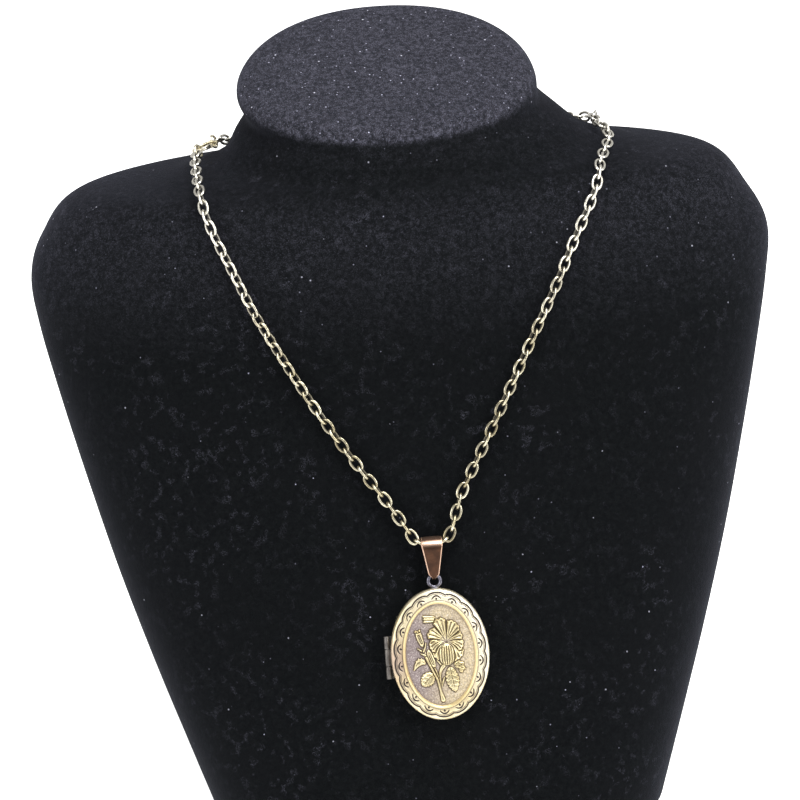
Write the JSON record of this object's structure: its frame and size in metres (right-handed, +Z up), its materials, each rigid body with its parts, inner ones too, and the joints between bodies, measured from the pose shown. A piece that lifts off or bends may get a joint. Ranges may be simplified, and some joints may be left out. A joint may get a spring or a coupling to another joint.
{
  "type": "oval locket necklace on a neck bust",
  "caption": "Oval hinged locket with a raised flower, on a cable-chain necklace with a lobster clasp, worn by a leaning black velvet neck bust.",
  "frame": {"origin": "centre of the bounding box at the bust's flat base", "axes": "+Z up, -Y towards the chest that the locket lies on, +X to the viewer's right, away from the locket's hinge"},
  "size_m": [0.19, 0.1216, 0.189],
  "materials": {
    "velvet": "black velvet with a short soft nap",
    "chain_brass": "antique brass, satin",
    "clasp_brass": "light brass, polished",
    "bail_copper": "antique copper-brown plating, satin, with bright edges",
    "locket_brass": "antique brass with dark patina in the engraved lines",
    "hinge_steel": "silver-grey, satin"
  },
  "bodies": {
    "display": {"neck_bust": "velvet", "chain": "chain_brass", "clasp_body": "clasp_brass", "clasp_pin": "clasp_brass", "clasp_ring": "clasp_brass", "end_ring": "clasp_brass"},
    "lever": {"clasp_lever": "clasp_brass"},
    "bail": {"bail": "bail_copper"},
    "locket": {"locket_back": "locket_brass", "hinge_pin": "hinge_steel"},
    "cover": {"locket_cover": "locket_brass"}
  },
  "joints": [
    {"name": "bail_swing", "type": "hinge", "parent": "display", "child": "bail", "pos_m": [0.0005, -0.03656, 0.0763], "axis": [-1, 0, 0], "range_deg": [0, 75]},
    {"name": "locket_swing", "type": "hinge", "parent": "bail", "child": "locket", "pos_m": [0.0005, -0.03889, 0.06989], "axis": [-1, 0, 0], "range_deg": [0, 15]},
    {"name": "cover_hinge", "type": "hinge", "parent": "locket", "child": "cover", "pos_m": [-0.01225, -0.04609, 0.05204], "axis": [0, -0.3423, -0.9396], "range_deg": [0, 150]},
    {"name": "clasp_lever_pivot", "type": "hinge", "parent": "display", "child": "lever", "pos_m": [-0.04692, 0.03469, 0.16138], "axis": [0.2983, -0.1661, -0.9399], "range_deg": [0, 18], "stiffness_Nm_per_rad": 0.0005, "springref_deg": -11.46}
  ]
}
